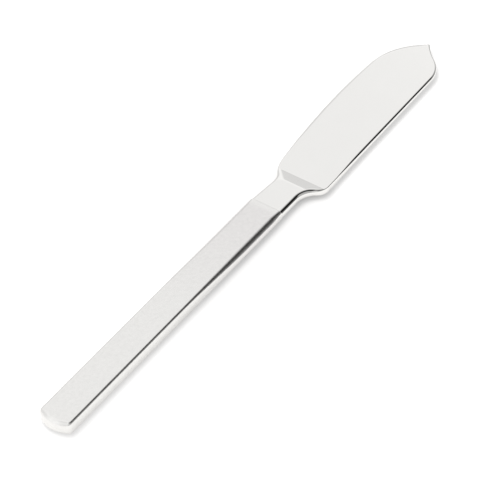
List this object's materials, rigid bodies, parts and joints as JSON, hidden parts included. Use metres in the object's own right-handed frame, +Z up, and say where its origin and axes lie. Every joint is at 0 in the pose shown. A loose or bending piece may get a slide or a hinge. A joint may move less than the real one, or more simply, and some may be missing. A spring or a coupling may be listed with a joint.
{
  "type": "fish knife",
  "caption": "Table fish knife lying flat: slim bar handle of two brazed half shells, short neck with a sloped shoulder, broad blunt blade with a curved belly and a notched tip.",
  "frame": {"origin": "centre of the bounding box on the surface the knife lies on", "axes": "+X along the knife from the butt to the tip, +Y towards the belly of the blade, +Z up, square to the flat of the blade"},
  "size_m": [0.21, 0.0228, 0.005],
  "materials": {
    "polished_steel": "stainless steel, mirror polished",
    "satin_steel": "stainless steel, fine blasted satin",
    "braze": "pale silver brazing alloy, ground flush",
    "cement": "cast resin cement, rough"
  },
  "bodies": {
    "root": {"blade": "polished_steel", "handle_shell_upper": "satin_steel", "handle_shell_lower": "satin_steel", "seam_braze": "braze", "handle_cement": "cement"}
  },
  "joints": []
}
